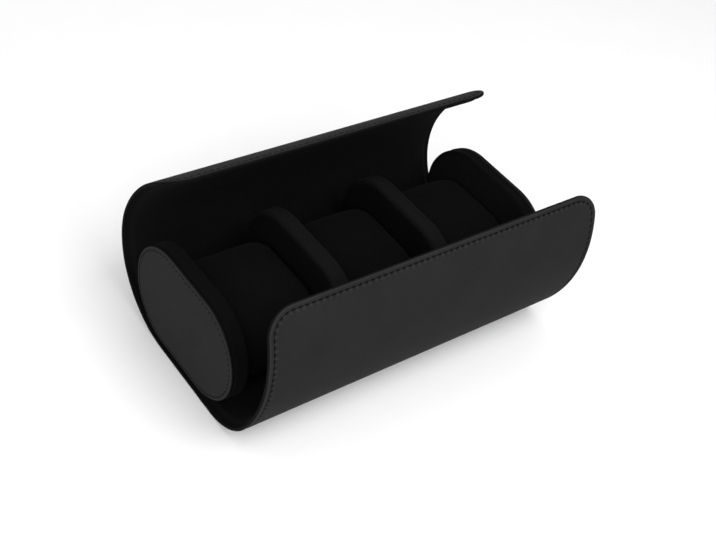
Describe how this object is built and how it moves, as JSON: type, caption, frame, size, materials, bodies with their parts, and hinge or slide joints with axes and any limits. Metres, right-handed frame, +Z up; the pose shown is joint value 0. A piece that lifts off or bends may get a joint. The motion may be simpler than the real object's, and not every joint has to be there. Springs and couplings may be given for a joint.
{
  "type": "watch travel case",
  "caption": "Wrap-round leather travel case with an oval padded insert, dividers and lift-out watch cushions; two flexible flaps close over the top.",
  "frame": {"origin": "centre of the flat underside of the base, at mid-length and under the middle of the insert", "axes": "+X along the case's length, +Y towards the tall rear flap, +Z up out of the case's mouth"},
  "size_m": [0.2088, 0.1355, 0.1043],
  "materials": {
    "outer_leather": "smooth dark charcoal leather, faint grain, soft sheen",
    "suede_lining": "near-black microsuede lining",
    "suede_cover": "near-black microsuede over padded board",
    "cushion_suede": "near-black microsuede over foam",
    "stiff_board": "grey fibre board",
    "magnet_steel": "nickel-plated magnet bars"
  },
  "bodies": {
    "case_base": {"base_leather": "outer_leather", "base_board": "stiff_board", "base_lining": "suede_lining", "left_end_panel": "outer_leather", "left_end_cover": "suede_cover", "left_end_board": "stiff_board", "right_end_panel": "outer_leather", "right_end_cover": "suede_cover", "right_end_board": "stiff_board", "divider_1": "suede_cover", "divider_2": "suede_cover"},
    "front_lower_panel": {"front_lower_leather": "outer_leather", "front_lower_board": "stiff_board", "front_lower_lining": "suede_lining"},
    "front_middle_panel": {"front_middle_leather": "outer_leather", "front_middle_board": "stiff_board", "front_middle_lining": "suede_lining"},
    "front_upper_panel": {"front_upper_leather": "outer_leather", "front_upper_board": "stiff_board", "front_upper_lining": "suede_lining", "front_magnets": "magnet_steel"},
    "rear_lower_panel": {"rear_lower_leather": "outer_leather", "rear_lower_board": "stiff_board", "rear_lower_lining": "suede_lining"},
    "rear_middle_panel": {"rear_middle_leather": "outer_leather", "rear_middle_board": "stiff_board", "rear_middle_lining": "suede_lining"},
    "rear_upper_panel": {"rear_upper_leather": "outer_leather", "rear_upper_board": "stiff_board", "rear_upper_lining": "suede_lining", "rear_magnets": "magnet_steel"},
    "cushion_1": {"cushion_1_pad": "cushion_suede"},
    "cushion_2": {"cushion_2_pad": "cushion_suede"},
    "cushion_3": {"cushion_3_pad": "cushion_suede"}
  },
  "joints": [
    {"name": "front_flap", "type": "hinge", "parent": "case_base", "child": "front_lower_panel", "pos_m": [0, -0.0249, 0], "axis": [1, 0, 0], "range_deg": [-24.4, 0]},
    {"name": "front_middle_fold", "type": "hinge", "parent": "front_lower_panel", "child": "front_middle_panel", "pos_m": [0, -0.06621, 0.02727], "axis": [1, 0, 0], "range_deg": [-23.02, 0]},
    {"name": "front_upper_fold", "type": "hinge", "parent": "front_middle_panel", "child": "front_upper_panel", "pos_m": [0, -0.07194, 0.0513], "axis": [1, 0, 0], "range_deg": [-23.82, 0]},
    {"name": "rear_flap", "type": "hinge", "parent": "case_base", "child": "rear_lower_panel", "pos_m": [0, 0.03396, 0.00341], "axis": [-1, 0, 0], "range_deg": [-10.8, 0]},
    {"name": "rear_middle_fold", "type": "hinge", "parent": "rear_lower_panel", "child": "rear_middle_panel", "pos_m": [0, 0.05492, 0.02015], "axis": [-1, 0, 0], "range_deg": [-12.22, 0]},
    {"name": "rear_upper_fold", "type": "hinge", "parent": "rear_middle_panel", "child": "rear_upper_panel", "pos_m": [0, 0.06329, 0.04783], "axis": [-1, 0, 0], "range_deg": [-15.02, 0]},
    {"name": "cushion_1_lift", "type": "slide", "parent": "case_base", "child": "cushion_1", "axis": [0, -0.2079, 0.9781], "range_m": [0, 0.06]},
    {"name": "cushion_2_lift", "type": "slide", "parent": "case_base", "child": "cushion_2", "axis": [0, -0.2079, 0.9781], "range_m": [0, 0.06]},
    {"name": "cushion_3_lift", "type": "slide", "parent": "case_base", "child": "cushion_3", "axis": [0, -0.2079, 0.9781], "range_m": [0, 0.06]}
  ],
  "couplings": [
    {"joint": "front_middle_fold", "follows": "front_flap", "ratio": 0.94262},
    {"joint": "front_upper_fold", "follows": "front_flap", "ratio": 0.97541},
    {"joint": "rear_middle_fold", "follows": "rear_flap", "ratio": 1.1296},
    {"joint": "rear_upper_fold", "follows": "rear_flap", "ratio": 1.3889}
  ]
}
